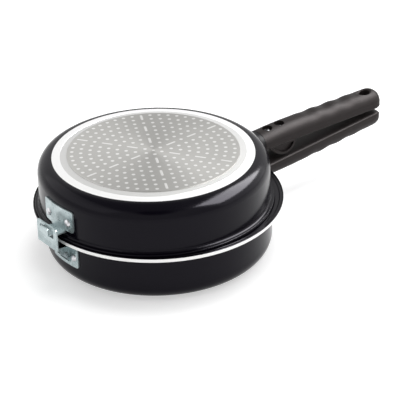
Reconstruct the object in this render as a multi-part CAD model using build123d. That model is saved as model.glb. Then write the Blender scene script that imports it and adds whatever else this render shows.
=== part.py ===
from build123d import *
import os
from math import asin, cos, pi, radians, sin, sqrt

# Double sided flip pan: two round pans closed rim to rim, hooked together by a pressed steel hinge.
# Millimetres.  +X runs along the handles, the hinge is at -X, +Z is up, and the origin is the centre
# of the lower pan's base, on the face that it rests on.  Each pan is drawn upright about its own
# axis, and the upper one is then turned over and set down on the lower one's rim.

# ---- pan bodies --------------------------------------------------------------------------------
wall_thickness = 3.0
floor_height = 6.0                # cooking surface above the resting face
foot_rise = 2.6                   # where the shoulder starts, above the resting face
shoulder_radius = 15.0            # outside rounding between base and wall
lower_wall_radius = 118.5         # outside of the lower pan's wall
upper_wall_step = 1.0             # the upper pan's wall lies this much further out
lower_bend_radius = 3.5           # underside of the bend from wall to rim
upper_bend_radius = 2.5
seat_height = 57.6                # lower pan's rim seat above the table
upper_pan_depth = 54.1            # upper pan, base face to rim face
rim_flare = 4.5                   # the upper pan's rim beyond its wall
hinge_play = 4.4                  # the upper pan lies this far toward the hinge
nest_clearance = 0.3              # upper rim to the lower pan's lip, at the hinge
seat_clearance = 0.2              # upper rim above the lower pan's seat
lip_width = 1.3
lip_height = 1.0
edge_height = 3.3                 # the bare cut edge of the rim
edge_rounding = 0.35
groove_inset = 2.9                # drip groove turned in the seat, inward of the lip
groove_width = 1.0
groove_depth = 0.6

# ---- induction base ----------------------------------------------------------------------------
disc_ring_width = 14.5            # sloping ring between the disc and the lower pan's shoulder
disc_thickness = 0.8
disc_edge_gap = 0.3               # dark line round the disc
line_from_disc = 6.6              # fine line turned in the sloping ring
line_width = 0.6
line_depth = 0.25

# ---- hinge -------------------------------------------------------------------------------------
sheet_thickness = 1.5
paint_film = 0.05                 # plate to painted wall
hinge_standoff = 19.5             # lower wall to the middle of the slotted frame
pivot_rise = 15.75                # rim seat to the middle of the top bar, which the hook turns on
bar_height = 3.5
slot_height = 9.0
slot_half_width = 11.5
frame_half_width = 17.0
frame_foot_drop = 5.5             # lower end of the slotted frame, below the rim seat
frame_corner = 3.0
wing_half_arc = 21.0
wing_top_drop = 11.0              # riveted wings, below the rim seat
wing_height = 22.0
pocket_half_width = 9.5           # pressed pocket that carries the frame, at the wall
pocket_foot_rise = 2.0            # above the wings' lower edge
pocket_mouth_drop = 4.5           # its top edge falls this much from frame to wall
plate_half_arc = 23.5             # upper hinge plate
plate_height = 23.5
plate_corner = 2.5
tongue_half_width = 11.0
tongue_drop = 7.25                # tongue's top face below the pivot
tongue_shoulder_gap = 0.9         # tongue shoulders to the frame
hook_half_width = 6.5
hook_gap = 1.75                   # frame to the upturned hook
hook_height = 8.0
plate_to_tongue = 2.0             # plate's lower edge above the tongue

# ---- rivets ------------------------------------------------------------------------------------
rivet_radius = 2.4
rivet_fit = 0.05                  # radial, shank in its holes
dome_radius = 4.0
dome_height = 2.5
head_seat = 0.12                  # flat head to curved wall
inner_head_radius = 4.2
inner_head_height = 1.2
upper_rivet_arc = 16.0
lower_rivet_arc = 15.0
upper_rivet_rise = 11.3           # above the tongue

# ---- handles -----------------------------------------------------------------------------------
handle_length = 175.0
handle_half_width = 15.0
handle_depth = 20.0
handle_crown = 4.0                # part of the depth on the side that faces the other handle
tip_rounding = 9.0
tip_share = 0.65                  # size of the flat tip against the full section
root_drop = 2.6                   # the outer side is this much leaner at the root
root_taper = 50.0
wave_pitch = 26.0
wave_height = 0.7
wave_start = 52.0
wave_end = 156.0
lower_handle_standoff = 17.5      # wall to the handle's root
lower_handle_drop = 6.2           # facing side below the rim seat, at the root
lower_handle_slope = 4.2
upper_handle_standoff = 20.9
upper_handle_drop = 11.7          # facing side below the upper pan's rim face, as it is drawn
upper_handle_slope = 0.7
lug_start = 6.0                   # thumb guard under the upper handle, from its root
lug_low = 29.0                    # its deepest place
lug_end = 44.0
lug_half_width = 13.0
lug_gap = 2.9                     # guard to the lower handle
lug_rim = 2.6
lug_pocket = 2.5
hang_hole_from_tip = 14.0
hang_hole_radius = 5.8
hang_hole_length = 5.0
hang_hole_end_radius = 3.4
dish_radius = 10.5                # scooped mouth of the hanging hole, on the outer side
dish_depth = 3.5

# ---- handle fixing -----------------------------------------------------------------------------
stem_thickness = 2.5
stem_half_width = 9.5
stem_length_in_handle = 44.0
stem_depth = 7.7                  # stem's middle below the facing side
stem_fit = 0.1
foot_thickness = 2.0
foot_drop = 7.2
foot_corner = 3.5
foot_rivet_arc = 6.0
foot_rivet_drop = 4.15
foot_dome_radius = 2.8
foot_dome_height = 1.3
leaf_length = 5.0                 # steel leaf that shows under the handle's root
leaf_half_width = 11.5
leaf_thickness = 1.9
leaf_gap = 0.1
guard_inset = 0.3                 # flame guard inside the handle's outline
guard_wall = 1.2
guard_wall_gap = 0.2
screw_places = (13.5, 30.5)       # from the handle's root
screw_radius = 2.4
screw_head_radius = 4.3
screw_head_height = 2.8
screw_recess_radius = 5.8
screw_recess_floor = 14.2         # below the facing side
screw_hole_fit = 0.1
screw_thread_fit = 0.05
screw_end = 5.0                   # screw's end below the facing side
screw_cross_width = 1.1
screw_cross_depth = 1.4

# ---- derived places ----------------------------------------------------------------------------
upper_wall_radius = lower_wall_radius + upper_wall_step
bead_radius = upper_wall_radius + rim_flare
disc_radius = lower_wall_radius - shoulder_radius - disc_ring_width
line_radius = disc_radius + line_from_disc
hinge_reach = lower_wall_radius + hinge_standoff
lower_handle_root = lower_wall_radius + lower_handle_standoff
upper_handle_root = upper_wall_radius + upper_handle_standoff
lip_inner_radius = bead_radius + hinge_play + nest_clearance
groove_radius = lip_inner_radius - groove_inset
rim_radius = lip_inner_radius + lip_width
rim_top = seat_height + lip_height
closed_height = seat_height + seat_clearance + upper_pan_depth
lower_handle_face = seat_height - lower_handle_drop
upper_handle_face = upper_pan_depth - upper_handle_drop
pivot_height = seat_height + pivot_rise
frame_foot = seat_height - frame_foot_drop
wing_top = seat_height - wing_top_drop
wing_foot = wing_top - wing_height
pocket_foot = wing_foot + pocket_foot_rise
lower_rivet_height = (wing_foot + wing_top) / 2
slot_top = pivot_height - bar_height / 2
slot_foot = slot_top - slot_height
frame_top = pivot_height + bar_height / 2
tongue_top = pivot_height - tongue_drop
plate_foot = tongue_top + plate_to_tongue
nodes = {}


def curved_plate(inner, outer, silhouette, towards=180):
    """A plate bent round a wall, from its silhouette as (across, height) seen along the radius."""
    reach = 2 * outer
    prism = extrude(Plane.YZ * silhouette, reach if towards == 0 else -reach)
    tube = Cylinder(outer, 2 * reach) - Cylinder(inner, 2 * reach)
    return tube & prism


def rounded_rectangle(half_width, low, high, corner):
    """A rectangle about the height axis, with all four corners rounded."""
    size = (2 * half_width, high - low)
    return Pos(0, (low + high) / 2) * RectangleRounded(*size, corner)


def plain_rectangle(half_width, low, high):
    """A rectangle about the height axis."""
    return Pos(0, (low + high) / 2) * Rectangle(2 * half_width, high - low)


def box_between(low, high):
    """A box from its lowest corner to its highest."""
    size = [high[i] - low[i] for i in range(3)]
    middle = [(high[i] + low[i]) / 2 for i in range(3)]
    return Pos(*middle) * Box(*size)


# ---- pan bodies --------------------------------------------------------------------------------
def wall_profile(wall_radius, bend_radius, bend_height):
    """Outer and inner runs of a pan's section, from the axis to the end of the rim bend."""
    base_edge = wall_radius - shoulder_radius
    inner_radius = wall_radius - wall_thickness
    inner_shoulder = shoulder_radius - wall_thickness
    bend_axis = wall_radius + bend_radius
    outer_shoulder_middle = shoulder_radius * (1 - sqrt(0.5))
    inner_shoulder_middle = inner_shoulder * (1 - sqrt(0.5))
    bend_middle = bend_radius * sqrt(0.5)
    top_bend = bend_radius + wall_thickness
    top_bend_middle = top_bend * sqrt(0.5)
    foot = foot_rise + shoulder_radius
    floor = floor_height + inner_shoulder
    slope = (foot_rise - disc_thickness) / (base_edge - disc_radius)
    line_height = disc_thickness + slope * (line_radius - disc_radius)
    base = Polyline(
        (0, disc_thickness),
        (disc_radius, disc_thickness),
        (line_radius - line_width / 2, line_height - slope * line_width / 2),
        (line_radius, line_height + line_depth),
        (line_radius + line_width / 2, line_height + slope * line_width / 2),
        (base_edge, foot_rise),
    )
    outer = [
        *base.edges(),
        ThreePointArc(
            (base_edge, foot_rise),
            (wall_radius - outer_shoulder_middle, foot_rise + outer_shoulder_middle),
            (wall_radius, foot),
        ),
        Line((wall_radius, foot), (wall_radius, bend_height)),
        ThreePointArc(
            (wall_radius, bend_height),
            (bend_axis - bend_middle, bend_height + bend_middle),
            (bend_axis, bend_height + bend_radius),
        ),
    ]
    inner = [
        ThreePointArc(
            (bend_axis, bend_height + top_bend),
            (bend_axis - top_bend_middle, bend_height + top_bend_middle),
            (inner_radius, bend_height),
        ),
        Line((inner_radius, bend_height), (inner_radius, floor)),
        ThreePointArc(
            (inner_radius, floor),
            (inner_radius - inner_shoulder_middle, floor_height + inner_shoulder_middle),
            (inner_radius - inner_shoulder, floor_height),
        ),
        Line((inner_radius - inner_shoulder, floor_height), (0, floor_height)),
        Line((0, floor_height), (0, disc_thickness)),
    ]
    return outer, inner


def turned(section_edges):
    """A body of revolution about Z from a closed section given as (radius, height)."""
    section = make_face(Wire(section_edges))
    return revolve(Plane.XZ * section, Axis.Z)


def lower_pan_body():
    """The lower pan, whose rim has a seat, a drip groove and a low lip."""
    bend_height = seat_height - wall_thickness - lower_bend_radius
    outer, inner = wall_profile(lower_wall_radius, lower_bend_radius, bend_height)
    bend_axis = lower_wall_radius + lower_bend_radius
    edge_foot = seat_height - edge_height
    rim = Polyline(
        (bend_axis, bend_height + lower_bend_radius),
        (rim_radius - edge_rounding, edge_foot),
        (rim_radius, edge_foot + edge_rounding),
        (rim_radius, rim_top - edge_rounding),
        (rim_radius - edge_rounding, rim_top),
        (lip_inner_radius + edge_rounding, rim_top),
        (lip_inner_radius, rim_top - edge_rounding),
        (lip_inner_radius, seat_height),
        (groove_radius + groove_width / 2, seat_height),
        (groove_radius, seat_height - groove_depth),
        (groove_radius - groove_width / 2, seat_height),
        (bend_axis, seat_height),
    )
    return turned([*outer, *rim.edges(), *inner])


def upper_pan_body():
    """The upper pan, drawn upright: a plain flared rim with rounded edges."""
    bend_height = upper_pan_depth - wall_thickness - upper_bend_radius
    outer, inner = wall_profile(upper_wall_radius, upper_bend_radius, bend_height)
    bend_axis = upper_wall_radius + upper_bend_radius
    underside = bend_height + upper_bend_radius
    bead_rounding = 0.9 * (bead_radius - bend_axis) / 2
    bead_middle = bead_rounding * (1 - sqrt(0.5))
    rim = [
        Line((bend_axis, underside), (bead_radius - bead_rounding, underside)),
        ThreePointArc(
            (bead_radius - bead_rounding, underside),
            (bead_radius - bead_middle, underside + bead_middle),
            (bead_radius, underside + bead_rounding),
        ),
        Line((bead_radius, underside + bead_rounding), (bead_radius, upper_pan_depth - bead_rounding)),
        ThreePointArc(
            (bead_radius, upper_pan_depth - bead_rounding),
            (bead_radius - bead_middle, upper_pan_depth - bead_middle),
            (bead_radius - bead_rounding, upper_pan_depth),
        ),
        Line((bead_radius - bead_rounding, upper_pan_depth), (bend_axis, upper_pan_depth)),
    ]
    return turned([*outer, *rim, *inner])


def induction_disc():
    """The steel disc bonded to the base: its face is what the pan rests on."""
    disc = Cylinder(
        disc_radius - disc_edge_gap,
        disc_thickness,
        align=(Align.CENTER, Align.CENTER, Align.MIN),
    )
    return chamfer(disc.edges().group_by(Axis.Z)[0], disc_edge_gap)


# ---- rivets ------------------------------------------------------------------------------------
def dome(radius, height, base):
    """A rivet's rounded head, its flat side at base on the Z axis."""
    ball_radius = (radius**2 + height**2) / (2 * height)
    ball = Pos(0, 0, base + height - ball_radius) * Sphere(ball_radius)
    keep = Pos(0, 0, base) * Cylinder(radius, height, align=(Align.CENTER, Align.CENTER, Align.MIN))
    return ball & keep


def rivet(wall_radius, plate_thickness, head_radius, head_height, arc, height, towards):
    """A solid rivet on a radius of the pan: domed outside, thin flat head inside the wall."""
    seat = wall_radius + paint_film + plate_thickness
    inner_face = wall_radius - wall_thickness - head_seat
    shank = Pos(0, 0, inner_face) * Cylinder(
        rivet_radius,
        seat - inner_face,
        align=(Align.CENTER, Align.CENTER, Align.MIN),
    )
    inner_head = Pos(0, 0, inner_face) * Cylinder(
        inner_head_radius,
        inner_head_height,
        align=(Align.CENTER, Align.CENTER, Align.MAX),
    )
    rounding = inner_head.faces().sort_by(Axis.Z)[0].edges()
    inner_head = fillet(rounding, inner_head_height * 0.6)
    body = shank + inner_head + dome(head_radius, head_height, seat)
    angle = towards + arc / seat * 180 / pi
    return Pos(0, 0, height) * Rot(0, 0, angle) * Rot(0, 90, 0) * body


def rivet_hole(wall_radius, arc, height, towards, plate_thickness):
    """The hole that a rivet's shank fills, through plate and wall."""
    seat = wall_radius + paint_film + plate_thickness
    angle = towards + arc / seat * 180 / pi
    bore = Pos(0, 0, wall_radius) * Cylinder(rivet_radius + rivet_fit, 6 * wall_thickness)
    return Pos(0, 0, height) * Rot(0, 0, angle) * Rot(0, 90, 0) * bore


# ---- hinge -------------------------------------------------------------------------------------
def lower_hinge_bracket():
    """Riveted wings, a pressed pocket that reaches out under the rim, and the slotted frame."""
    wall_face = lower_wall_radius + paint_film
    outside = wall_face + sheet_thickness
    frame_out = hinge_reach + sheet_thickness / 2
    frame_in = hinge_reach - sheet_thickness / 2
    window_half = pocket_half_width - sheet_thickness
    wing_outline = rounded_rectangle(wing_half_arc, wing_foot, wing_top, plate_corner)
    wing_outline -= plain_rectangle(window_half, pocket_foot + sheet_thickness, wing_top + 1)
    wings = curved_plate(wall_face, outside, wing_outline)
    mouth_at_wall = frame_foot - pocket_mouth_drop
    pocket = pocket_wedge(0, frame_out, frame_foot - sheet_thickness, frame_foot + 1, mouth_at_wall)
    hollow = pocket_wedge(sheet_thickness, frame_in, frame_foot, frame_top, frame_top)
    wall_space = Cylinder(wall_face + sheet_thickness / 2, 4 * seat_height)
    frame = box_between(
        (-frame_out, -frame_half_width, frame_foot - sheet_thickness),
        (-frame_in, frame_half_width, frame_top),
    )
    frame = fillet(frame.edges().filter_by(Axis.X).group_by(Axis.Z)[-1], frame_corner)
    slot = box_between(
        (-frame_out - 1, -slot_half_width, slot_foot),
        (-frame_in + 1, slot_half_width, slot_top),
    )
    slot = fillet(slot.edges().filter_by(Axis.X), frame_corner / 2)
    bracket = wings + (pocket - hollow - wall_space) + (frame - slot)
    for side in (-1, 1):
        bracket -= rivet_hole(
            lower_wall_radius, side * lower_rivet_arc, lower_rivet_height, 180, sheet_thickness
        )
    return bracket


def pocket_wedge(inset, reach, foot_at_frame, top_at_frame, top_at_wall):
    """A wedge that narrows from the frame's width to the pocket's width at the wall."""
    wall_half = pocket_half_width - inset
    frame_half = frame_half_width - inset
    root = lower_wall_radius - 1
    wall_end = Plane(origin=(-root, 0, 0), x_dir=(0, 1, 0), z_dir=(-1, 0, 0))
    frame_end = Plane(origin=(-reach, 0, 0), x_dir=(0, 1, 0), z_dir=(-1, 0, 0))
    sections = []
    for plane, half, low, high in (
        (wall_end, wall_half, pocket_foot + inset, top_at_wall),
        (frame_end, frame_half, foot_at_frame, top_at_frame),
    ):
        outline = [
            plane.to_local_coords(Vector(plane.origin.X, y, z))
            for y, z in ((-half, low), (half, low), (half, high), (-half, high))
        ]
        sections.append(plane * make_face(Polyline(*outline, close=True)))
    return loft(sections, ruled=True)


def upper_hinge_plate():
    """Drawn in the closed position: a curved wall plate with a tongue that hooks over the bar."""
    wall_face = upper_wall_radius + paint_film
    outside = wall_face + sheet_thickness
    tongue_foot = tongue_top - sheet_thickness
    outline = rounded_rectangle(plate_half_arc, plate_foot, plate_foot + plate_height, plate_corner)
    outline += plain_rectangle(tongue_half_width, tongue_foot, plate_foot + plate_corner)
    plate = curved_plate(wall_face, outside, outline)
    shoulder_end = -(hinge_reach - sheet_thickness / 2 - tongue_shoulder_gap) + hinge_play
    hook_in = -(hinge_reach + sheet_thickness / 2 + hook_gap) + hinge_play
    hook_out = hook_in - sheet_thickness
    tongue = box_between(
        (shoulder_end, -tongue_half_width, tongue_foot),
        (-wall_face + 5, tongue_half_width, tongue_top),
    )
    tip = box_between((hook_out, -hook_half_width, tongue_foot), (shoulder_end, hook_half_width, tongue_top))
    hook = box_between(
        (hook_out, -hook_half_width, tongue_foot),
        (hook_in, hook_half_width, tongue_foot + hook_height),
    )
    hook = fillet(hook.edges().filter_by(Axis.X).group_by(Axis.Z)[-1], hook_half_width / 3)
    upturned = tip + hook
    outer_bend = [
        edge
        for edge in upturned.edges().filter_by(Axis.Y)
        if abs(edge.center().Z - tongue_foot) < 0.01 and abs(edge.center().X - hook_out) < 0.01
    ]
    upturned = fillet(outer_bend, sheet_thickness * 0.8)
    tongue -= Cylinder(wall_face + sheet_thickness / 2, 4 * closed_height)
    plate = plate + tongue + upturned
    for side in (-1, 1):
        plate -= rivet_hole(
            upper_wall_radius,
            side * upper_rivet_arc,
            tongue_top + upper_rivet_rise,
            180,
            sheet_thickness,
        )
    return plate


# ---- handles -----------------------------------------------------------------------------------
def handle_outline(share=1.0, inset=0.0, swell=0.0):
    """A handle's section as a smooth closed curve: flat toward the other handle, round beyond."""
    half = (handle_half_width - inset) * share
    crown = (handle_crown - inset) * share
    round_depth = (handle_depth - handle_crown - inset) * share + swell
    middle = -handle_depth / 2 + (handle_depth / 2 - handle_crown) * share
    points = []
    steps = 28
    for step in range(steps):
        angle = 2 * pi * step / steps
        flat = angle < pi
        power = 2 / (4.0 if flat else 2.3)
        reach = crown if flat else round_depth
        across = half * abs(cos(angle)) ** power * (1 if cos(angle) >= 0 else -1)
        up = reach * abs(sin(angle)) ** power * (1 if flat else -1)
        points.append((across, middle + up))
    return Spline(*points, periodic=True)


def section_at(place, **outline):
    """The handle's section standing across its length, place from the root."""
    plane = Plane(origin=(place, 0, 0), x_dir=(0, 1, 0), z_dir=(1, 0, 0))
    return plane * make_face(Wire([handle_outline(**outline)]))


def swell_at(place):
    """The outer side along the handle: leaner at the root, then waves for the fingers."""
    swell = -root_drop * max(0.0, 1 - place / root_taper) ** 2
    if wave_start < place < wave_end:
        fade = min(1.0, (place - wave_start) / wave_pitch, (wave_end - place) / wave_pitch)
        swell += wave_height * fade * sin(2 * pi * (place - wave_start) / wave_pitch)
    return swell


def lug_height():
    """The upper handle's thumb guard reaches down to just above the lower handle."""
    upper_side = closed_height - upper_handle_face - lug_low * sin(radians(upper_handle_slope))
    lower_run = upper_handle_root - hinge_play + lug_low - lower_handle_root
    lower_side = lower_handle_face + lower_run * sin(radians(lower_handle_slope))
    return upper_side - lower_side - lug_gap


def guard_side(rim, foot):
    """Side view of the thumb guard, or of the pocket in its flank, which lies a rim inside."""
    height = lug_height() - rim
    start = lug_start + 2 * rim
    end = lug_end - rim
    rise = lug_low - start
    fall = end - lug_low
    back = Spline(
        (start, foot),
        (start + 0.38 * rise, 0.54 * height),
        (lug_low, height),
        (lug_low + 0.47 * fall, 0.88 * height),
        (lug_low + 0.85 * fall, 0.52 * height),
        (end, foot),
    )
    return Plane.XZ * make_face(Wire([back, Line((end, foot), (start, foot))]))


def thumb_guard():
    """A guard on the facing side: a long slope, a short steep end, and a pocket in each flank."""
    body = extrude(guard_side(0, -handle_crown / 2), lug_half_width, both=True)
    core = extrude(guard_side(lug_rim, lug_rim / 2), lug_half_width + 1, both=True)
    web = box_between(
        (0, -lug_half_width + lug_pocket, -handle_crown),
        (handle_length, lug_half_width - lug_pocket, 2 * lug_height()),
    )
    return body - (core - web)


def hang_hole():
    """Teardrop hole for a hook, its narrow end toward the pan, with a scooped mouth."""
    round_centre = handle_length - hang_hole_from_tip
    narrow_centre = round_centre - hang_hole_length
    slope = asin((hang_hole_radius - hang_hole_end_radius) / hang_hole_length)
    taper = Polyline(
        (round_centre - hang_hole_radius * sin(slope), hang_hole_radius * cos(slope)),
        (narrow_centre - hang_hole_end_radius * sin(slope), hang_hole_end_radius * cos(slope)),
        (narrow_centre - hang_hole_end_radius * sin(slope), -hang_hole_end_radius * cos(slope)),
        (round_centre - hang_hole_radius * sin(slope), -hang_hole_radius * cos(slope)),
        close=True,
    )
    outline = (
        Pos(round_centre, 0) * Circle(hang_hole_radius)
        + Pos(narrow_centre, 0) * Circle(hang_hole_end_radius)
        + make_face(taper)
    )
    hole = Pos(0, 0, -1.5 * handle_depth) * extrude(outline, 3 * handle_depth)
    scoop_radius = (dish_radius**2 + dish_depth**2) / (2 * dish_depth)
    middle = (round_centre + narrow_centre) / 2
    return hole + Pos(middle, 0, dish_depth - handle_depth - scoop_radius) * Sphere(scoop_radius)


def handle(guarded):
    """One moulded handle from root (x 0) to tip, its facing side at z 0."""
    body_end = handle_length - tip_rounding
    steps = 26
    sections = []
    for step in range(steps):
        place = body_end * step / steps
        sections.append(section_at(place, swell=swell_at(place)))
    rounding_steps = 4
    for step in range(rounding_steps + 1):
        turn = pi / 2 * step / rounding_steps
        place = body_end + tip_rounding * sin(turn)
        sections.append(section_at(place, share=tip_share + (1 - tip_share) * cos(turn)))
    body = loft(sections) - hang_hole()
    body -= box_between(
        (-1, -stem_half_width - stem_fit, -stem_depth - stem_thickness / 2 - stem_fit),
        (
            stem_length_in_handle + stem_fit,
            stem_half_width + stem_fit,
            -stem_depth + stem_thickness / 2 + stem_fit,
        ),
    )
    for place in screw_places:
        recess = Cylinder(
            screw_recess_radius, handle_depth, align=(Align.CENTER, Align.CENTER, Align.MAX)
        )
        body -= Pos(place, 0, -screw_recess_floor) * recess
        way = Cylinder(
            screw_radius + screw_hole_fit,
            screw_recess_floor - screw_end + screw_hole_fit,
            align=(Align.CENTER, Align.CENTER, Align.MIN),
        )
        body -= Pos(place, 0, -screw_recess_floor) * way
    return body + thumb_guard() if guarded else body


def handle_screw(place):
    """Cross-head screw from the outer side of the handle up through the stem."""
    shank = Pos(place, 0, -screw_recess_floor) * Cylinder(
        screw_radius,
        screw_recess_floor - screw_end,
        align=(Align.CENTER, Align.CENTER, Align.MIN),
    )
    head = dome(screw_head_radius, screw_head_height, 0)
    for turn in (0, 90):
        cross = Rot(0, 0, turn) * Box(screw_head_radius, screw_cross_width, 2 * screw_cross_depth)
        head -= Pos(0, 0, screw_head_height) * cross
    return shank + Pos(place, 0, -screw_recess_floor) * Rot(180, 0, 0) * head


def flame_guard(wall_radius, root, face, slope):
    """Black sleeve between the wall and the handle's root, notched over the bracket's foot."""
    depth_inward = root - wall_radius + handle_half_width
    outer = section_at(0, inset=guard_inset, swell=swell_at(0))
    inner = section_at(0, inset=guard_inset + guard_wall, swell=swell_at(0))
    sleeve = extrude(outer, -depth_inward) - extrude(inner, -depth_inward)
    guard = on_pan(sleeve, root, face, slope) - Cylinder(wall_radius + guard_wall_gap, 4 * closed_height)
    notch = foot_outline(wall_radius, root, face, slope, guard_wall_gap)
    notch_reach = wall_radius + paint_film + foot_thickness + guard_wall_gap
    return guard - curved_plate(wall_radius, notch_reach, notch, 0)


def foot_outline(wall_radius, root, face, slope, clearance=0.0):
    """Silhouette of the bracket's foot on the wall, as (across, height above the base)."""
    middle = stem_height_at(wall_radius + paint_film, root, face, slope)
    low = middle - foot_drop - clearance
    high = middle + stem_depth + leaf_gap + leaf_thickness * 0.5 + clearance
    half_width = stem_half_width + clearance
    outline = rounded_rectangle(half_width, low, high, foot_corner)
    return outline + plain_rectangle(half_width, middle, high)


def handle_bracket(wall_radius, root, face, slope):
    """A foot riveted to the wall, a stem inside the handle and a short leaf under its root."""
    wall_face = wall_radius + paint_film
    middle = stem_height_at(wall_face, root, face, slope)
    foot = curved_plate(
        wall_face,
        wall_face + foot_thickness,
        foot_outline(wall_radius, root, face, slope),
        0,
    )
    inward = root - wall_radius + leaf_half_width
    bar = box_between(
        (-inward, -stem_half_width, -stem_depth - stem_thickness / 2),
        (stem_length_in_handle, stem_half_width, -stem_depth + stem_thickness / 2),
    )
    for place in screw_places:
        bar -= Pos(place, 0, -stem_depth) * Cylinder(
            screw_radius + screw_thread_fit, 2 * stem_thickness
        )
    leaf = box_between(
        (-inward, -leaf_half_width, leaf_gap),
        (leaf_length, leaf_half_width, leaf_gap + leaf_thickness),
    )
    leaf = fillet(leaf.edges().filter_by(Axis.Z).group_by(Axis.X)[-1], leaf_half_width / 3)
    wall_space = Cylinder(wall_face + foot_thickness / 2, 4 * closed_height)
    bracket = foot + (on_pan(bar + leaf, root, face, slope) - wall_space)
    for side in (-1, 1):
        bracket -= rivet_hole(
            wall_radius, side * foot_rivet_arc, middle - foot_rivet_drop, 0, foot_thickness
        )
    return bracket


def stem_height_at(radius, root, face, slope):
    """Height of the stem's middle above the base where it meets the wall."""
    along = (root - radius) / cos(radians(slope))
    return face - stem_depth * cos(radians(slope)) - along * sin(radians(slope))


def on_pan(shape, root, face, slope):
    """Carries a shape drawn along the handle to its place on an upright pan."""
    return Pos(root, 0, face) * Rot(0, -slope, 0) * shape


# ---- assembly ----------------------------------------------------------------------------------
def turned_over(shape):
    """Carries an upright pan's piece to the closed upper pan's place."""
    return Pos(-hinge_play, 0, closed_height) * Rot(180, 0, 0) * shape


def add_pan(name, place, body, wall_radius, handle_sizes, hinge, hinge_rivets):
    """Builds one pan's pieces and carries each to its place."""
    root, face, slope = handle_sizes
    rivet_height = stem_height_at(wall_radius + paint_film, root, face, slope) - foot_rivet_drop
    for side in (-1, 1):
        body -= rivet_hole(wall_radius, side * foot_rivet_arc, rivet_height, 0, foot_thickness)
        body -= rivet_hole(wall_radius, side * hinge_rivets[0], hinge_rivets[1], 180, sheet_thickness)
    nodes[name + "_pan"] = place(body)
    nodes[name + "_induction_disc"] = place(induction_disc())
    nodes[name + "_hinge_" + ("bracket" if name == "lower" else "plate")] = hinge
    nodes[name + "_flame_guard"] = place(flame_guard(wall_radius, root, face, slope))
    nodes[name + "_handle"] = place(on_pan(handle(name == "upper"), root, face, slope))
    nodes[name + "_handle_bracket"] = place(handle_bracket(wall_radius, root, face, slope))
    for label, side in (("near", -1), ("far", 1)):
        drawn_side = side if name == "upper" else -side
        hinge_rivet = rivet(
            wall_radius,
            sheet_thickness,
            dome_radius,
            dome_height,
            drawn_side * hinge_rivets[0],
            hinge_rivets[1],
            180,
        )
        nodes[f"{name}_hinge_rivet_{label}"] = place(hinge_rivet)
        handle_rivet = rivet(
            wall_radius,
            foot_thickness,
            foot_dome_radius,
            foot_dome_height,
            -drawn_side * foot_rivet_arc,
            rivet_height,
            0,
        )
        nodes[f"{name}_handle_rivet_{label}"] = place(handle_rivet)
    for label, where in zip(("root", "grip"), screw_places):
        screw = on_pan(handle_screw(where), root, face, slope)
        nodes[f"{name}_handle_screw_{label}"] = place(screw)


add_pan(
    "lower",
    lambda shape: shape,
    lower_pan_body(),
    lower_wall_radius,
    (lower_handle_root, lower_handle_face, lower_handle_slope),
    lower_hinge_bracket(),
    (lower_rivet_arc, lower_rivet_height),
)
add_pan(
    "upper",
    turned_over,
    upper_pan_body(),
    upper_wall_radius,
    (upper_handle_root, upper_handle_face, upper_handle_slope),
    Pos(-hinge_play, 0, 0) * upper_hinge_plate(),
    (upper_rivet_arc, closed_height - tongue_top - upper_rivet_rise),
)

os.makedirs("parts", exist_ok=True)
for node, solid in nodes.items():
    export_step(solid, f"parts/{node}.step")
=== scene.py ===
import math

import bpy
from mathutils import Matrix, Vector

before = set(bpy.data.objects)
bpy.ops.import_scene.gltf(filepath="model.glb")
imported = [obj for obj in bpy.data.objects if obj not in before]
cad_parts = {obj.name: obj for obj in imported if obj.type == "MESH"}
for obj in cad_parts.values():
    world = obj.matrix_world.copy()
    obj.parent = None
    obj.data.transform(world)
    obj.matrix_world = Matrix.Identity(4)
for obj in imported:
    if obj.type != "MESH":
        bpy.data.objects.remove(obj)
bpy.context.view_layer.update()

# ---------------------------------------------------------------- sizes that the finishes follow, metres
CLOSED_HEIGHT = 0.1119  # base face to base face
HINGE_PLAY = 0.0044  # the upper pan lies this far toward the hinge
LOWER_WALL_RADIUS = 0.1185
UPPER_WALL_RADIUS = 0.1195
SHOULDER_ROUNDING = 0.015  # outside, between base and wall
SHOULDER_CENTRE_HEIGHT = 0.0178

# Where one finish passes into the next: the first number is the last of the one, the second the
# first of the other.
WALL_MIDDLE = (0.0131, 0.0138)  # from the centre of the shoulder's rounding
RING_LINE = (0.0954, 0.0959)  # radius of the fine line in the turned ring
RING_END = (0.1039, 0.1044)  # radius where the coating starts
RING_FOOT = (0.0031, 0.0036)  # the ring lies no further than this from the base face
RIM_EDGE_RADIUS = (0.1294, 0.1296)
RIM_EDGE_LOW = (0.0540, 0.0542)
RIM_EDGE_HIGH = (0.0579, 0.0581)

# Dots in rings, six more on each ring than on the ring inside it, and dashes on six spokes.
SPOKES = 6
SPOKE_TURN = math.radians(1.9)
DOT_PITCH = 0.00927
DOT_RADIUS = 0.0019
DOT_BLUR = 0.0006
DOT_RINGS = (9.45 * DOT_PITCH, 9.5 * DOT_PITCH)  # no dots further out
HOLE_EDGE = (DOT_RADIUS + 0.0002, DOT_RADIUS + 0.0011)
FIRST_DASH = 2.5 * DOT_PITCH
DASH_PITCH = 3 * DOT_PITCH
DASH_HALF_LENGTH = 0.0060
DASH_HALF_WIDTH = 0.00125
DASH_BLUR = 0.0003
BESIDE_DASH = (0.0030, 0.0032)  # a dash takes the place of the dots nearer than this
BEYOND_DASH = (0.95 * DOT_PITCH, DOT_PITCH)
CENTRE_DOT = (0.0012, 0.0018)

FULL_TURN = 2 * math.pi
PAN_MIDDLE = (0.0, 0.0, 0.10)  # what the side lamps are turned toward
PAPER_WHITE = 0.93

# ---------------------------------------------------------------- camera, at the photograph's place
CAMERA_PLACE = (-0.8159, -1.1026, 0.8049)
CAMERA_AHEAD = (0.54316, 0.68769, -0.48173)
CAMERA_ROLL = math.radians(-1.192)
LENS = 135
SENSOR_WIDTH = 36


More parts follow.
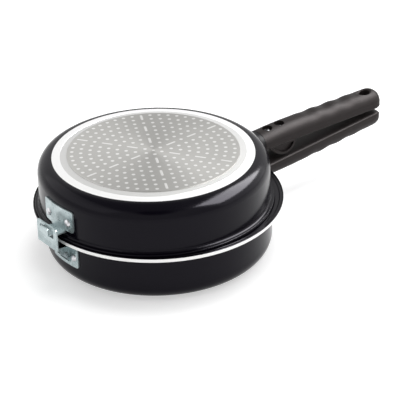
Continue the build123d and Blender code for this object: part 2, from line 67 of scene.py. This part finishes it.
# ---------------------------------------------------------------- shader helpers
class NodeTree:
    """A tree of shader nodes, built step by step; each step returns the socket to go on with."""

    def __init__(self, tree):
        self.nodes = tree.nodes
        self.links = tree.links

    def feed(self, socket, value):
        if isinstance(value, bpy.types.NodeSocket):
            self.links.new(value, socket)
        else:
            socket.default_value = value

    def maths(self, operation, first, second=0.0):
        node = self.nodes.new("ShaderNodeMath")
        node.operation = operation
        self.feed(node.inputs[0], first)
        self.feed(node.inputs[1], second)
        return node.outputs[0]

    def product(self, first, *others):
        for other in others:
            first = self.maths("MULTIPLY", first, other)
        return first

    def off_whole(self, value):
        """How far a number lies from the nearest whole one."""
        return self.maths("SUBTRACT", value, self.maths("ROUND", value))

    def above(self, value, floor):
        """How far value lies above floor, and 0 below it."""
        return self.maths("MAXIMUM", self.maths("SUBTRACT", value, floor), 0.0)

    def vector(self, operation, first, second=(0, 0, 0)):
        node = self.nodes.new("ShaderNodeVectorMath")
        node.operation = operation
        self.feed(node.inputs[0], first)
        self.feed(node.inputs[1], second)
        return node.outputs["Value"] if operation in ("LENGTH", "DOT_PRODUCT") else node.outputs[0]

    def split(self, vector):
        node = self.nodes.new("ShaderNodeSeparateXYZ")
        self.links.new(vector, node.inputs[0])
        return node.outputs

    def joined(self, x=0.0, y=0.0, z=0.0):
        node = self.nodes.new("ShaderNodeCombineXYZ")
        for socket, value in zip(node.inputs, (x, y, z)):
            self.feed(socket, value)
        return node.outputs[0]

    def length(self, first, second):
        """Length of the line that runs first one way and second across it."""
        return self.vector("LENGTH", self.joined(first, second))

    def spread(self, value, low, high, to_low=0.0, to_high=1.0, way="LINEAR"):
        """to_low where value is low or less, to_high where it is high or more, and between them between."""
        node = self.nodes.new("ShaderNodeMapRange")
        node.interpolation_type = way
        self.feed(node.inputs["Value"], value)
        node.inputs["From Min"].default_value = low
        node.inputs["From Max"].default_value = high
        node.inputs["To Min"].default_value = to_low
        node.inputs["To Max"].default_value = to_high
        return node.outputs["Result"]

    def rise(self, value, low, high):
        """0 below low, 1 above high, smooth between."""
        return self.spread(value, low, high, way="SMOOTHSTEP")

    def fall(self, value, low, high):
        """1 below low, 0 above high, smooth between."""
        return self.maths("SUBTRACT", 1.0, self.rise(value, low, high))


class Finish(NodeTree):
    """One procedural finish on Object coordinates, round a Principled shader."""

    SOCKETS = {
        "colour": "Base Color",
        "metallic": "Metallic",
        "roughness": "Roughness",
        "specular": "Specular IOR Level",
        "tint": "Specular Tint",
        "anisotropy": "Anisotropic",
        "shine_way": "Tangent",
    }

    def __init__(self, name):
        self.material = bpy.data.materials.new(name)
        self.material.use_nodes = True
        super().__init__(self.material.node_tree)
        self.shader = self.nodes["Principled BSDF"]
        self.place = self.nodes.new("ShaderNodeTexCoord").outputs["Object"]

    def moved(self, location, scale):
        node = self.nodes.new("ShaderNodeMapping")
        self.links.new(self.place, node.inputs["Vector"])
        node.inputs["Location"].default_value = location
        node.inputs["Scale"].default_value = scale
        return node.outputs[0]

    def in_world(self, vector):
        """A direction on the object, as it lies in the room."""
        node = self.nodes.new("ShaderNodeVectorTransform")
        node.vector_type = "VECTOR"
        node.convert_from = "OBJECT"
        node.convert_to = "WORLD"
        self.feed(node.inputs[0], vector)
        return node.outputs[0]

    def noise(self, vector, scale, detail=2.0, roughness=0.5):
        node = self.nodes.new("ShaderNodeTexNoise")
        self.feed(node.inputs["Vector"], vector)
        node.inputs["Scale"].default_value = scale
        node.inputs["Detail"].default_value = detail
        node.inputs["Roughness"].default_value = roughness
        return node.outputs["Fac"]

    def grains(self, vector, scale):
        """Distance to the nearest of many scattered points, in cells."""
        node = self.nodes.new("ShaderNodeTexVoronoi")
        self.feed(node.inputs["Vector"], vector)
        node.inputs["Scale"].default_value = scale
        return node.outputs["Distance"]

    def blend(self, factor, first, second):
        """Colour first where factor is 0 and second where it is 1."""
        node = self.nodes.new("ShaderNodeMix")
        node.data_type = "RGBA"
        self.feed(node.inputs["Factor"], factor)
        self.feed(node.inputs[6], first)
        self.feed(node.inputs[7], second)
        return node.outputs[2]

    def mix(self, factor, first, second):
        """Number first where factor is 0 and second where it is 1."""
        node = self.nodes.new("ShaderNodeMix")
        self.feed(node.inputs["Factor"], factor)
        self.feed(node.inputs[2], first)
        self.feed(node.inputs[3], second)
        return node.outputs[0]

    def relief(self, height, distance):
        node = self.nodes.new("ShaderNodeBump")
        node.inputs["Strength"].default_value = 1.0
        node.inputs["Distance"].default_value = distance
        self.feed(node.inputs["Height"], height)
        self.links.new(node.outputs[0], self.shader.inputs["Normal"])

    def set(self, **values):
        for name, value in values.items():
            self.feed(self.shader.inputs[self.SOCKETS[name]], value)


def around(edge, blur):
    """Where a soft edge starts and ends."""
    return edge - blur, edge + blur


def wear(node, finish):
    """Gives a CAD node's object one finish all over."""
    for material_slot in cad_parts[node].material_slots:
        material_slot.material = finish.material


# ---------------------------------------------------------------- pans
def pan_place(finish, upper):
    """Place in a pan's own upright frame, the radius from its axis, and its x, y and height."""
    place = finish.place
    if upper:
        place = finish.moved(location=(HINGE_PLAY, 0, CLOSED_HEIGHT), scale=(1, -1, -1))
    radius = finish.vector("LENGTH", finish.vector("MULTIPLY", place, (1, 1, 0)))
    return place, radius, finish.split(place)


def enamelled_pan(name, upper, wall_radius, bare_rim_edge):
    """Black coated aluminium: gloss outside, speckled non-stick inside, bare ring and rim edge."""
    finish = Finish(name)
    place, radius, (_, _, height) = pan_place(finish, upper)
    # the inside is told from the outside by the middle of the wall
    outward = finish.above(radius, wall_radius - SHOULDER_ROUNDING)
    downward = finish.above(SHOULDER_CENTRE_HEIGHT, height)
    inside = finish.fall(finish.length(outward, downward), *WALL_MIDDLE)
    # bare aluminium: the turned ring round the disc, and the cut edge of the rim
    bare = finish.product(finish.fall(radius, *RING_END), finish.fall(height, *RING_FOOT))
    if bare_rim_edge:
        edge = finish.product(
            finish.rise(radius, *RIM_EDGE_RADIUS),
            finish.rise(height, *RIM_EDGE_LOW),
            finish.fall(height, *RIM_EDGE_HIGH),
        )
        bare = finish.maths("MAXIMUM", bare, edge)

    cloud = finish.noise(place, 18, 3)
    enamel = finish.blend(cloud, (0.0016, 0.0012, 0.0030, 1), (0.0026, 0.0021, 0.0046, 1))
    flake = finish.fall(finish.grains(place, 900), 0.06, 0.16)
    lining = finish.blend(flake, (0.022, 0.022, 0.024, 1), (0.16, 0.16, 0.165, 1))
    within_line = finish.fall(radius, *RING_LINE)
    aluminium = finish.blend(within_line, (0.83, 0.83, 0.82, 1), (0.58, 0.58, 0.567, 1))
    coated = finish.blend(inside, enamel, lining)
    finish.set(colour=finish.blend(bare, coated, aluminium))
    finish.set(metallic=finish.product(bare, 0.35))

    lathe_lines = finish.noise(finish.joined(x=radius, z=height), 2600, 2)
    gloss = finish.spread(finish.noise(place, 40, 3), 0.35, 0.65, 0.16, 0.20)
    coated_roughness = finish.mix(inside, gloss, 0.42)
    turned_roughness = finish.spread(lathe_lines, 0.3, 0.7, 0.34, 0.44)
    finish.set(roughness=finish.mix(bare, coated_roughness, turned_roughness))
    peel = finish.noise(place, 420, 2)
    finish.relief(finish.mix(bare, peel, finish.product(lathe_lines, 0.35)), 0.00003)
    finish.set(specular=0.12, tint=(0.93, 0.90, 1.0, 1))
    return finish


def disc_marks(finish, radius, angle):
    """Two numbers: 1 on a dot or a dash and 0 on the steel, and the edges of the dots' holes."""
    ring = finish.maths("MAXIMUM", finish.maths("ROUND", finish.maths("DIVIDE", radius, DOT_PITCH)), 1.0)
    off_ring = finish.maths("SUBTRACT", radius, finish.product(ring, DOT_PITCH))
    count = finish.product(ring, float(SPOKES))
    off_dot = finish.off_whole(finish.product(angle, finish.maths("DIVIDE", count, FULL_TURN)))
    arc = finish.product(off_dot, radius, finish.maths("DIVIDE", FULL_TURN, count))
    off_middle = finish.length(off_ring, arc)
    dot = finish.fall(off_middle, *around(DOT_RADIUS, DOT_BLUR))

    off_spoke = finish.off_whole(finish.product(angle, SPOKES / FULL_TURN))
    spoke_arc = finish.maths("ABSOLUTE", finish.product(off_spoke, radius, FULL_TURN / SPOKES))
    dash_number = finish.maths("DIVIDE", finish.maths("SUBTRACT", radius, FIRST_DASH), DASH_PITCH)
    along = finish.maths("ABSOLUTE", finish.product(finish.off_whole(dash_number), DASH_PITCH))
    past_end = finish.above(along, DASH_HALF_LENGTH - DASH_HALF_WIDTH)
    dash = finish.fall(finish.length(past_end, spoke_arc), *around(DASH_HALF_WIDTH, DASH_BLUR))

    under_dash = finish.product(finish.fall(spoke_arc, *BESIDE_DASH), finish.fall(along, *BEYOND_DASH))
    free = finish.maths("SUBTRACT", 1.0, under_dash)
    marks = finish.maths("MAXIMUM", finish.product(dot, free), dash)
    marks = finish.product(marks, finish.fall(radius, *DOT_RINGS))
    marks = finish.maths("MAXIMUM", marks, finish.fall(radius, *CENTRE_DOT))
    hole_edge = finish.product(finish.fall(off_middle, *HOLE_EDGE), free)
    return marks, hole_edge


def perforated_disc(name, upper):
    """Stainless disc with aluminium dots pressed through it, in rings, and dashes on six spokes."""
    finish = Finish(name)
    place, radius, (x, y, height) = pan_place(finish, upper)
    turn = -SPOKE_TURN if upper else SPOKE_TURN
    angle = finish.maths("SUBTRACT", finish.maths("ARCTAN2", y, x), turn)
    marks, hole_edge = disc_marks(finish, radius, angle)

    stain = finish.noise(place, 26, 4)
    steel = finish.blend(stain, (0.49, 0.484, 0.465, 1), (0.57, 0.563, 0.542, 1))
    steel = finish.blend(finish.product(hole_edge, 0.25), steel, (0.36, 0.355, 0.342, 1))
    finish.set(colour=finish.blend(marks, steel, (0.84, 0.835, 0.82, 1)), metallic=1.0)

    # turned on a lathe: the shine spreads across the grooves, so it fans out from the centre
    outward = finish.vector("MULTIPLY", place, (1, -1, 0) if upper else (1, 1, 0))
    finish.set(anisotropy=0.60, shine_way=finish.in_world(outward))
    grooves = finish.noise(finish.joined(x=radius, z=height), 1500, 2)
    steel_roughness = finish.spread(grooves, 0.3, 0.7, 0.40, 0.48)
    finish.set(roughness=finish.mix(marks, steel_roughness, 0.34))
    finish.relief(finish.maths("ADD", marks, finish.product(grooves, 0.12)), 0.00012)
    return finish


# ---------------------------------------------------------------- steel and bakelite
def zinc_sheet():
    """Plated hinge sheet: pale grey with a faint green cast and a mottled sheen."""
    finish = Finish("zinc plated sheet")
    patch = finish.noise(finish.place, 55, 5, 0.6)
    crystal = finish.grains(finish.place, 260)
    mottle = finish.rise(patch, 0.30, 0.70)
    finish.set(colour=finish.blend(mottle, (0.30, 0.365, 0.375, 1), (0.52, 0.595, 0.605, 1)))
    finish.set(metallic=0.72, roughness=finish.spread(patch, 0.3, 0.7, 0.20, 0.36))
    finish.relief(finish.mix(0.4, patch, crystal), 0.00004)
    return finish


def plated(name, colour, smoothest, roughest, scale):
    """Rivets, screws and the steel of the handle brackets."""
    finish = Finish(name)
    patch = finish.noise(finish.place, scale, 3, 0.6)
    darker = tuple(value * 0.82 for value in colour)
    finish.set(colour=finish.blend(patch, (*darker, 1), (*colour, 1)))
    finish.set(metallic=1.0, roughness=finish.spread(patch, 0.3, 0.7, smoothest, roughest))
    finish.relief(patch, 0.00002)
    return finish


def bakelite():
    """Moulded handle: brown-black, satin, with the faint mottling of the moulding powder."""
    finish = Finish("black-brown bakelite")
    cloud = finish.noise(finish.place, 60, 4, 0.6)
    grain = finish.noise(finish.place, 1400, 2)
    finish.set(colour=finish.blend(cloud, (0.010, 0.0080, 0.0078, 1), (0.016, 0.0128, 0.0125, 1)))
    finish.set(roughness=finish.spread(cloud, 0.3, 0.7, 0.42, 0.52))
    finish.set(specular=0.115, tint=(1.0, 0.93, 0.93, 1))
    finish.relief(grain, 0.00003)
    return finish


def painted_shade_collar():
    """Collar between wall and handle: near-black and darker than the handle, as painted shade of the gap at
    the handle's root; a little glossier than the handle.
    """
    finish = Finish("collar in painted shade")
    cloud = finish.noise(finish.place, 90, 3)
    # near-black colour: painted shade, standing for the shadowed gap between wall and handle
    finish.set(colour=finish.blend(cloud, (0.005, 0.005, 0.006, 1), (0.009, 0.009, 0.010, 1)))
    finish.set(roughness=finish.spread(cloud, 0.3, 0.7, 0.34, 0.46), specular=0.1)
    finish.relief(cloud, 0.00003)
    return finish


def dress_pans():
    wear("lower_pan", enamelled_pan("lower pan coating", False, LOWER_WALL_RADIUS, bare_rim_edge=True))
    wear("upper_pan", enamelled_pan("upper pan coating", True, UPPER_WALL_RADIUS, bare_rim_edge=False))
    wear("lower_induction_disc", perforated_disc("lower perforated disc", False))
    wear("upper_induction_disc", perforated_disc("upper perforated disc", True))


def dress_fittings():
    """Each node wears the finish of the first word here that its name holds."""
    hinge_steel = zinc_sheet()
    finishes = (
        ("hinge_bracket", hinge_steel),
        ("hinge_plate", hinge_steel),
        ("rivet", plated("rivet steel", (0.64, 0.64, 0.66), 0.22, 0.36, 300)),
        ("screw", plated("blackened screw steel", (0.09, 0.09, 0.093), 0.34, 0.46, 300)),
        ("handle_bracket", plated("bracket steel", (0.72, 0.72, 0.71), 0.24, 0.38, 160)),
        ("handle", bakelite()),
        # the collar's near-black colour is painted shade of the gap at the handle's root
        ("flame_guard", painted_shade_collar()),
    )
    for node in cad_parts:
        for word, finish in finishes:
            if word in node:
                wear(node, finish)
                break


# ---------------------------------------------------------------- floor, light and camera
def white_sweep(lit_share, glow):
    """White paper: to the eye and in reflections it glows a little, so that only shadows grey it."""
    paper = Finish("white paper sweep")
    paper.set(colour=(PAPER_WHITE, PAPER_WHITE, PAPER_WHITE, 1), roughness=0.9, specular=0.1)
    rays = paper.nodes.new("ShaderNodeLightPath").outputs
    mirrored = paper.maths("MAXIMUM", rays["Is Glossy Ray"], rays["Is Transmission Ray"])
    seen = paper.maths("MAXIMUM", rays["Is Camera Ray"], mirrored)
    glowing = paper.nodes.new("ShaderNodeEmission")
    glowing.inputs["Color"].default_value = (1, 1, 1, 1)
    glowing.inputs["Strength"].default_value = glow
    dimmed = paper.nodes.new("ShaderNodeBsdfDiffuse")
    seen_white = PAPER_WHITE * lit_share
    dimmed.inputs["Color"].default_value = (seen_white, seen_white, seen_white, 1)
    both = paper.nodes.new("ShaderNodeAddShader")
    paper.links.new(glowing.outputs[0], both.inputs[0])
    paper.links.new(dimmed.outputs[0], both.inputs[1])
    choice = paper.nodes.new("ShaderNodeMixShader")
    paper.links.new(seen, choice.inputs[0])
    paper.links.new(paper.shader.outputs[0], choice.inputs[1])
    paper.links.new(both.outputs[0], choice.inputs[2])
    paper.links.new(choice.outputs[0], paper.nodes["Material Output"].inputs["Surface"])
    return paper


def lay_floor():
    bpy.ops.object.select_all(action="DESELECT")
    bpy.ops.mesh.primitive_plane_add(size=14, location=(0, 0, 0))
    floor = bpy.context.object
    floor.name = "floor"
    floor.data.materials.append(white_sweep(lit_share=0.95, glow=0.38).material)


def studio_walls(wall_level, ceiling_level, ceiling_rise, dark_way, dark_cosine, dark_blur, dark_level):
    """White walls to eye height, a dimmer ceiling, and the dark of the room behind the camera."""
    world = bpy.data.worlds.new("studio")
    bpy.context.scene.world = world
    world.use_nodes = True
    room = NodeTree(world.node_tree)
    direction = room.nodes.new("ShaderNodeTexCoord").outputs["Generated"]
    upward = room.split(direction)[2]
    level = room.spread(upward, *ceiling_rise, wall_level, ceiling_level, "SMOOTHSTEP")
    toward = room.vector("DOT_PRODUCT", direction, dark_way)
    dark = room.spread(toward, *around(dark_cosine, dark_blur), 1.0, dark_level, "SMOOTHSTEP")
    background = room.nodes["Background"]
    background.inputs["Color"].default_value = (1, 1, 1, 1)
    room.links.new(room.product(level, dark), background.inputs["Strength"])


def soft_box(name, place, aim, size, power, lights_matt=True, seen_in_gloss=True):
    """A rectangular studio lamp at place, turned toward aim."""
    lamp = bpy.data.lights.new(name, "AREA")
    lamp.shape = "RECTANGLE"
    lamp.size, lamp.size_y = size
    lamp.energy = power
    holder = bpy.data.objects.new(name, lamp)
    bpy.context.collection.objects.link(holder)
    holder.location = place
    holder.rotation_euler = (Vector(aim) - Vector(place)).to_track_quat("-Z", "Y").to_euler()
    holder.visible_camera = False
    holder.visible_diffuse = lights_matt
    holder.visible_glossy = seen_in_gloss
    return holder


def aim_at_discs(lamp, name, state):
    """Lets a lamp shine on the two bare discs alone (INCLUDE), or on all but them (EXCLUDE)."""
    discs = bpy.data.collections.new(name)
    for node in ("lower_induction_disc", "upper_induction_disc"):
        discs.objects.link(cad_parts[node])
    lamp.light_linking.receiver_collection = discs
    for listed in discs.collection_objects:
        listed.light_linking.link_state = state


def set_lamps():
    """A key and a top light for the form, and three sheens for the gloss alone."""
    side_key = soft_box("side key", (0.70, -0.42, 0.60), PAN_MIDDLE, (1.40, 1.15), 5)
    soft_box("top light", (0.30, 0.05, 1.45), (0.05, 0.0, 0.05), (0.90, 0.90), 9, seen_in_gloss=False)
    soft_box("far sheen", (-0.66, 0.46, 0.65), PAN_MIDDLE, (1.70, 0.70), 2.6, lights_matt=False)
    side_sheen = soft_box(
        "side sheen", (0.623, -0.36, 0.795), PAN_MIDDLE, (1.25, 0.60), 46, lights_matt=False
    )
    disc_sheen = soft_box("disc sheen", (0.57, -0.33, 0.85), PAN_MIDDLE, (1.25, 0.46), 5, lights_matt=False)
    aim_at_discs(side_key, "spared by the side key", "EXCLUDE")
    aim_at_discs(side_sheen, "spared by the side sheen", "EXCLUDE")
    aim_at_discs(disc_sheen, "lit by the disc sheen", "INCLUDE")


def set_camera():
    camera_data = bpy.data.cameras.new("camera")
    camera_data.lens = LENS
    camera_data.sensor_width = SENSOR_WIDTH
    camera_data.clip_start = 0.05
    camera_data.clip_end = 60
    camera = bpy.data.objects.new("camera", camera_data)
    bpy.context.collection.objects.link(camera)
    ahead = Vector(CAMERA_AHEAD).normalized()
    level = ahead.cross(Vector((0, 0, 1))).normalized()
    above = level.cross(ahead)
    right = level * math.cos(CAMERA_ROLL) + above * math.sin(CAMERA_ROLL)
    up = above * math.cos(CAMERA_ROLL) - level * math.sin(CAMERA_ROLL)
    camera.rotation_euler = Matrix((right, up, -ahead)).transposed().to_euler()
    camera.location = CAMERA_PLACE
    bpy.context.scene.camera = camera


dress_pans()
dress_fittings()
lay_floor()
studio_walls(
    wall_level=1.0,
    ceiling_level=0.38,
    ceiling_rise=(0.58, 0.85),
    dark_way=(-0.4255, -0.5647, 0.7071),
    dark_cosine=0.965,
    dark_blur=0.02,
    dark_level=0.04,
)
set_lamps()
set_camera()
bpy.context.scene.view_settings.view_transform = "Standard"
